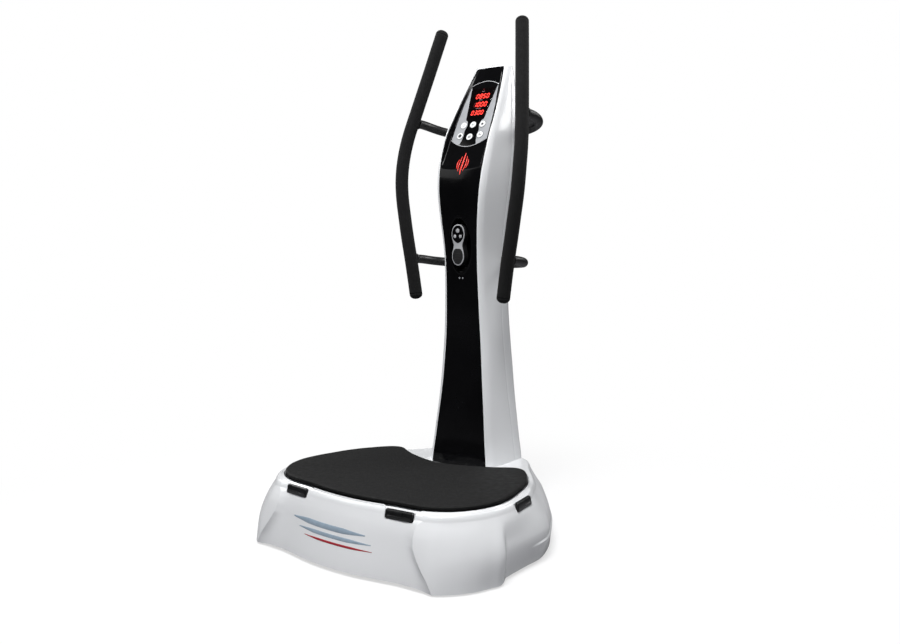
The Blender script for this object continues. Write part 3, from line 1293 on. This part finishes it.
grip_rings, grip_sections = tube(BAR, GRIP_RADIUS, GRIP_SIDES, spacing=3.0, noise=0.05)
for side, where in SIDES:
    add("foam_sleeve_" + where, *loft_side(grip_rings, side), FOAM,
        replaces=("foam_grip_" + where,))
domes = [[hoop(grip_sections[end], r, GRIP_SIDES, sign * along) for r, along in CAP_PROFILE]
         for end, sign in ((0, -1), (-1, 1))]
add("handlebar_cap_domes", *merge(loft_side(dome, side) for side, _ in SIDES for dome in domes),
    FOAM, replaces=("handlebar_end_caps",))

for kind, path in BRACKETS.items():
    rings, sections = tube(path, BRACKET_RADIUS, BRACKET_SIDES, spacing=2.5, noise=0.02)
    for side, where in SIDES:
        add("bracket_%s_tube_%s" % (kind, where), *loft_side(rings, side), POWDER,
            replaces=("bracket_%s_%s" % (kind, where),))
    # a collar where the tube leaves the grip
    collar = np.vstack([hoop(sections[0], r, BRACKET_SIDES, along) for r, along in TUBE_COLLAR])
    for side, where in SIDES:
        add("bracket_%s_collar_%s" % (kind, where), collar * [side, 1, 1],
            ring_faces(len(TUBE_COLLAR), BRACKET_SIDES, closed=True), PLASTIC,
            slot="black_tube")


def gusset_rings():
    """A thin triangular plate across the upper bracket's bend, right side."""
    corners = np.array([(188, 226, 1154.5), (173, 308, 1145), (124, 337, 1131.5)], float)
    normal = unit(np.cross(corners[1] - corners[0], corners[2] - corners[0]))
    centre = sum(corners) / 3
    edge = np.array([corners[i] * (1 - t) + corners[(i + 1) % 3] * t
                     for i in range(3) for t in np.linspace(0, 1, 10, endpoint=False)])
    return [centre + (edge - centre) * scale + normal * depth
            for scale, depth in ((0.98, -3.0), (1.0, -2.2), (1.0, 2.2), (0.98, 3.0))]


for side, where in SIDES:
    add("bracket_upper_gusset_" + where, *loft_side(gusset_rings(), side), POWDER,
        slot="black_tube", crease=30)

# ------------------------------------------------------------------ CAD nodes that keep their shape
CAD_MATERIALS = (
    (PAINTED, "base_tray chassis_frame motor_bracket mast_tube platform_subframe"),
    (RUBBER, "rubber_feet drive_belt"),
    (ZINC, "foot_screws frame_bolts rear_cover_screws plate_screws"),
    (CAST, "pivot_bearings shaft_bearings con_rod_left con_rod_right"),
    (ALLOY, "motor_housing platform_plate driven_pulley motor_pulley"),
    (BOARD, "control_board console_board"),
    (ROCKER, "power_rocker"),
    (STEEL, "handlebar_tube_left handlebar_tube_right pivot_shaft rod_pins eccentric_shaft "
            "eccentric_bearings motor_rotor remote_battery"),
)
node_materials = {name: material for material, names in CAD_MATERIALS for name in names.split()}
for name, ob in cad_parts.items():
    if ob.hide_render:
        continue
    material = node_materials.get(name, PLASTIC)
    if not ob.material_slots:
        ob.data.materials.append(material)
    for material_slot in ob.material_slots:
        material_slot.material = material


# ------------------------------------------------------------------ floor
def floor_material():
    """Pale near the object and pure white far off to the camera; dim to all other rays."""
    material = bpy.data.materials.new("studio_floor")
    material.use_nodes = True
    tree = material.node_tree
    pale = tree.nodes["Principled BSDF"]
    feed(tree, pale, {"Base Color": (0.9, 0.9, 0.905, 1), "Roughness": 0.8,
                      "Specular IOR Level": 0.1})
    white = node(tree, "Emission", {"Color": (1, 1, 1, 1), "Strength": 1.0})
    position = node(tree, "NewGeometry").outputs["Position"]
    distance = node(tree, "VectorMath", {0: position}, operation="LENGTH")
    fade = node(tree, "MapRange", {"From Min": 0.35, "From Max": 1.5, "To Min": 0.62,
                                   "To Max": 1.0, "Value": distance.outputs["Value"]},
                interpolation_type="SMOOTHSTEP")
    seen = node(tree, "MixShader", {"Fac": fade.outputs["Result"], 1: pale.outputs["BSDF"],
                                    2: white.outputs["Emission"]})
    dim = node(tree, "BsdfDiffuse", {"Color": (0.30, 0.30, 0.31, 1)})
    camera_ray = node(tree, "LightPath").outputs["Is Camera Ray"]
    both = node(tree, "MixShader", {"Fac": camera_ray, 1: dim.outputs["BSDF"],
                                    2: seen.outputs["Shader"]})
    feed(tree, tree.nodes["Material Output"], {"Surface": both.outputs["Shader"]})
    return material


def studio_floor():
    radii = (0.5, 1.0, 2.0, 4.0, 8.0, 14.0)
    sides = 48
    verts = [(0, 0, 0)]
    for radius in radii:
        for i in range(sides):
            turn = 2 * math.pi * i / sides
            verts.append((radius * math.cos(turn), radius * math.sin(turn), 0.0))
    faces = [(0, 1 + i, 1 + (i + 1) % sides) for i in range(sides)]
    faces += [tuple(1 + i for i in quad) for quad in grid_faces(len(radii), sides, False, True)]
    mesh = bpy.data.meshes.new("floor")
    mesh.from_pydata(verts, [], faces)
    floor = bpy.data.objects.new("studio_floor", mesh)
    bpy.context.scene.collection.objects.link(floor)
    mesh.materials.append(floor_material())


studio_floor()


# ------------------------------------------------------------------ world
def studio_world():
    """A pale dome, darker towards and below the horizon; white to the camera."""
    world = bpy.data.worlds.new("studio")
    bpy.context.scene.world = world
    world.use_nodes = True
    tree = world.node_tree
    backdrop = tree.nodes["Background"]
    feed(tree, backdrop, {"Color": (1, 1, 1, 1), "Strength": 1.0})
    direction = node(tree, "TexCoord").outputs["Generated"]
    upward = node(tree, "SeparateXYZ", {0: direction}).outputs["Z"]
    strength = node(tree, "MapRange", {"From Min": -0.25, "From Max": 0.9, "To Min": 0.045,
                                       "To Max": 0.16, "Value": upward},
                    interpolation_type="SMOOTHSTEP").outputs["Result"]
    dome_color = (0.95, 0.97, 1.0, 1)
    dome = node(tree, "Background", {"Color": dome_color, "Strength": strength})
    # reflections see a dimmer dome
    dimmed = node(tree, "Math", {0: strength, 1: 0.35}, operation="MULTIPLY").outputs[0]
    reflected = node(tree, "Background", {"Color": dome_color, "Strength": dimmed})
    rays = node(tree, "LightPath")
    lit = node(tree, "MixShader", {"Fac": rays.outputs["Is Glossy Ray"],
                                   1: dome.outputs["Background"],
                                   2: reflected.outputs["Background"]})
    both = node(tree, "MixShader", {"Fac": rays.outputs["Is Camera Ray"],
                                    1: lit.outputs["Shader"],
                                    2: backdrop.outputs["Background"]})
    feed(tree, tree.nodes["World Output"], {"Surface": both.outputs["Shader"]})


studio_world()

# ------------------------------------------------------------------ lights
# name, azimuth (0 in front, 90 to the right), elevation, distance, target, size, power (W)
LIGHTS = (
    ("key_high", 30, 62, 3.8, (0, 0, 0.4), 1.5, 146),
    ("overhead", 0, 80, 3.2, (0, 0, 0.4), 2.2, 20),
    ("fill_left", -50, 35, 4.0, (0, 0, 0.5), 1.5, 21),
    ("side_left", -100, 30, 4.0, (0, 0, 0.5), 1.5, 40),
    ("rim_back", 150, 30, 3.6, (0, 0.1, 0.8), 1.4, 36),
)
for name, azimuth, elevation, distance, target, size, power in LIGHTS:
    light = bpy.data.lights.new(name, "AREA")
    light.energy = power
    light.color = (1, 1, 1)
    light.shape = "RECTANGLE"
    light.size = light.size_y = size
    ob = bpy.data.objects.new(name, light)
    bpy.context.scene.collection.objects.link(ob)
    turn, rise = math.radians(azimuth), math.radians(elevation)
    ob.location = (target[0] + distance * math.sin(turn) * math.cos(rise),
                   target[1] - distance * math.cos(turn) * math.cos(rise),
                   target[2] + distance * math.sin(rise))
    ob.rotation_euler = (Vector(target) - ob.location).to_track_quat("-Z", "Y").to_euler()

# ------------------------------------------------------------------ camera
CAMERA_PLACE = (1.5186, -1.8734, 0.8128)
CAMERA_HEADING = 0.64967        # radians from +Y towards -X
CAMERA_PITCH = 0.092046         # radians below the horizon
camera_data = bpy.data.cameras.new("camera")
camera_data.sensor_width = 36.0
camera_data.lens = 35.5496
camera_data.clip_start = 0.05
camera = bpy.data.objects.new("camera", camera_data)
bpy.context.scene.collection.objects.link(camera)
camera.location = CAMERA_PLACE
view = Vector((-math.sin(CAMERA_HEADING) * math.cos(CAMERA_PITCH),
               math.cos(CAMERA_HEADING) * math.cos(CAMERA_PITCH), -math.sin(CAMERA_PITCH)))
camera.rotation_euler = view.to_track_quat("-Z", "Y").to_euler()
bpy.context.scene.camera = camera
bpy.context.scene.view_settings.view_transform = "Standard"
